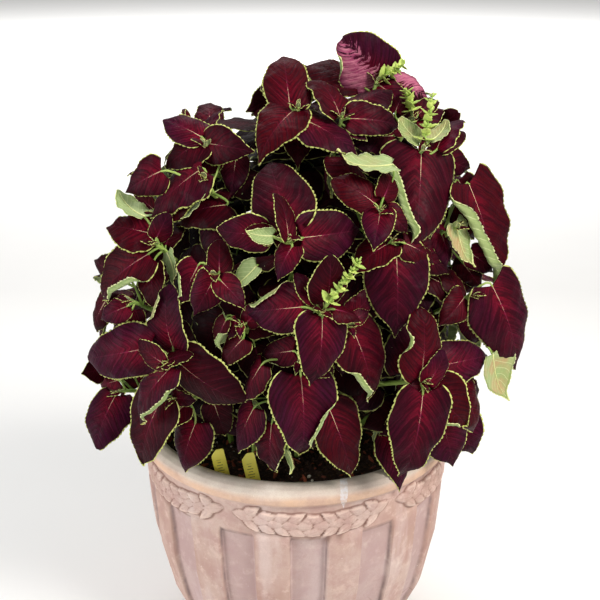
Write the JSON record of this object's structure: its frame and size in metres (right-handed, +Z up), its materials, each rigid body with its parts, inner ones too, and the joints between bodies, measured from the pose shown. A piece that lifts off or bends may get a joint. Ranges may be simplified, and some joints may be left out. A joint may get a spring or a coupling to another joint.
{
  "type": "coleus in a terracotta pot",
  "caption": "Bushy coleus with dark toothed leaves on square stems, growing in a round terracotta pot with raised panels and a garland band.",
  "frame": {"origin": "centre of the pot's flat base, on the surface that it stands on", "axes": "+Z up along the pot's axis, -Y to the front, +X to the right as seen from the front"},
  "size_m": [0.528, 0.5198, 0.7752],
  "materials": {
    "terracotta": "weathered pink terracotta with a chalky bloom, matt and slightly grainy",
    "soil": "dark loose potting soil with bark and pale grit",
    "label": "plain yellow plastic plant tag, satin",
    "leaf": "velvety burgundy leaf with a lime green toothed margin, magenta veins and a pale sage underside",
    "stem": "smooth lime green square stem",
    "spike": "pale lime green flower buds in whorls"
  },
  "bodies": {
    "root": {"pot": "terracotta", "soil": "soil", "label_1": "label", "label_2": "label", "spike_1": "spike", "spike_2": "spike", "spike_3": "spike", "spike_4": "spike", "stem_01": "leaf", "stem_02": "leaf", "stem_03": "leaf", "stem_04": "leaf", "stem_05": "leaf", "stem_06": "leaf", "stem_07": "leaf", "stem_08": "leaf", "stem_09": "leaf", "stem_10": "leaf", "stem_11": "leaf", "stem_12": "leaf", "stem_13": "leaf", "stem_14": "leaf", "stem_15": "leaf", "stem_16": "leaf", "stem_17": "leaf", "stem_18": "leaf", "stem_19": "leaf", "stem_20": "leaf", "stem_21": "leaf", "stem_22": "leaf", "stem_23": "leaf", "stem_24": "leaf", "stem_25": "leaf", "stem_26": "leaf", "stem_27": "leaf", "stem_28": "leaf", "stem_29": "leaf", "stem_30": "leaf", "stem_31": "leaf", "stem_32": "leaf", "stem_33": "leaf", "stem_34": "leaf", "stem_35": "leaf", "stem_36": "leaf", "stem_37": "leaf", "stem_38": "leaf", "stem_39": "leaf", "stem_40": "leaf", "stem_41": "leaf"}
  },
  "joints": []
}
